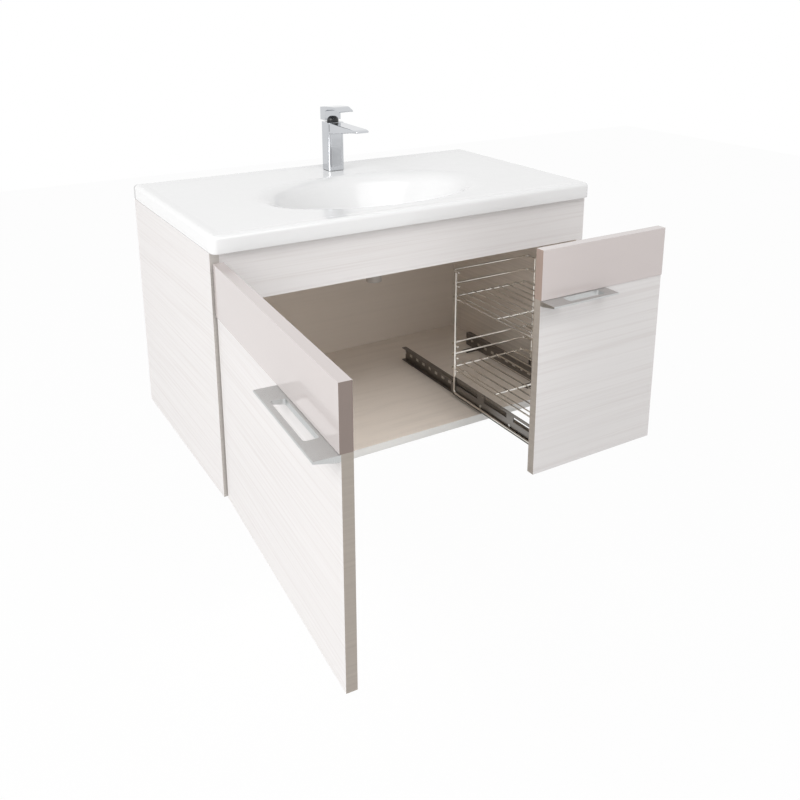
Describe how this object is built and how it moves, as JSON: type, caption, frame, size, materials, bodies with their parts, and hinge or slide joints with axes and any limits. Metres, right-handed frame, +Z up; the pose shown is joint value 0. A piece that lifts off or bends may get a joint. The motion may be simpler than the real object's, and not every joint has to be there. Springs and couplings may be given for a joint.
{
  "type": "vanity unit with basin",
  "caption": "Wall-hung bathroom cabinet with a ceramic basin and lever tap, a hinged door and a pull-out wire basket.",
  "frame": {"origin": "on the wall plane, midway between the two wall screws", "axes": "the front looks along -Y, +X is to the viewer's right, +Z is up"},
  "size_m": [0.8612, 0.9602, 0.624],
  "materials": {
    "melamine": "matt wood-grain laminate",
    "band_gloss": "high gloss laminate",
    "backing": "matt hardboard",
    "dowel_wood": "raw turned wood",
    "ceramic": "white glaze",
    "chrome": "polished",
    "wire": "polished wire",
    "zinc": "dull zinc plate",
    "nickel": "nickel plate",
    "screw_steel": "zinc plated",
    "satin_aluminium": "satin anodised",
    "seal": "matt",
    "buffer": "soft translucent",
    "pipe_plastic": "moulded",
    "cartridge_plastic": "moulded",
    "brass": "turned"
  },
  "bodies": {
    "cabinet": {"side_panel_left": "melamine", "side_panel_right": "melamine", "floor_panel": "melamine", "front_rail": "melamine", "hanging_rail": "melamine", "back_panel": "backing", "carcass_dowels": "dowel_wood", "basin": "ceramic", "waste_flange": "chrome", "waste_seal": "seal", "waste_nut": "chrome", "waste_tail": "pipe_plastic", "tap_body": "chrome", "tap_base_seal": "seal", "tap_stud": "screw_steel", "tap_clamp_plate": "screw_steel", "tap_nut": "brass", "tap_aerator": "chrome", "cartridge": "cartridge_plastic", "cartridge_gland": "brass", "hinge_arms": "nickel", "hinge_plates": "nickel", "hinge_screws": "screw_steel", "slide_outer_left": "zinc", "slide_outer_right": "zinc", "slide_feet": "zinc", "slide_feet_screws": "screw_steel"},
    "plug": {"waste_plug": "chrome"},
    "neck": {"cartridge_neck": "chrome"},
    "lever": {"lever_stem": "brass", "tap_lever": "chrome", "lever_screw": "screw_steel"},
    "door": {"door_panel": "melamine", "door_band": "band_gloss", "door_dowels": "dowel_wood", "door_handle": "satin_aluminium", "door_handle_screws": "screw_steel", "door_buffers": "buffer", "hinge_cups": "nickel", "cup_screws": "screw_steel"},
    "drawer": {"drawer_panel": "melamine", "drawer_band": "band_gloss", "drawer_dowels": "dowel_wood", "drawer_handle": "satin_aluminium", "drawer_handle_screws": "screw_steel", "drawer_buffers": "buffer", "side_frames": "wire", "upper_basket": "wire", "lower_basket": "wire", "frame_saddles": "pipe_plastic", "saddle_screws": "screw_steel", "slide_inner_left": "zinc", "slide_inner_right": "zinc", "carriage_left": "zinc", "carriage_right": "zinc", "carriage_rivets": "screw_steel"},
    "slide_middles": {"slide_middle_left": "zinc", "slide_middle_right": "zinc"}
  },
  "joints": [
    {"name": "door_swing", "type": "hinge", "parent": "cabinet", "child": "door", "pos_m": [-0.39, -0.4645, -0.232], "axis": [0, 0, -1], "range_deg": [-93.5, 5]},
    {"name": "drawer_slide", "type": "slide", "parent": "cabinet", "child": "drawer", "axis": [0, -1, 0], "range_m": [-0.2, 0.08]},
    {"name": "middle_slide", "type": "slide", "parent": "cabinet", "child": "slide_middles", "axis": [0, -1, 0], "range_m": [-0.1, 0.04]},
    {"name": "tap_swivel", "type": "hinge", "parent": "cabinet", "child": "neck", "pos_m": [0.018, -0.065, 0.17], "axis": [0, 0, 1], "range_deg": [-45, 45]},
    {"name": "lever_lift", "type": "hinge", "parent": "neck", "child": "lever", "pos_m": [0.018, -0.057, 0.177], "axis": [-1, 0, 0], "range_deg": [0, 20]},
    {"name": "plug_lift", "type": "slide", "parent": "cabinet", "child": "plug", "axis": [0, 0, 1], "range_m": [0, 0.012]}
  ],
  "couplings": [
    {"joint": "middle_slide", "follows": "drawer_slide", "ratio": 0.5}
  ]
}
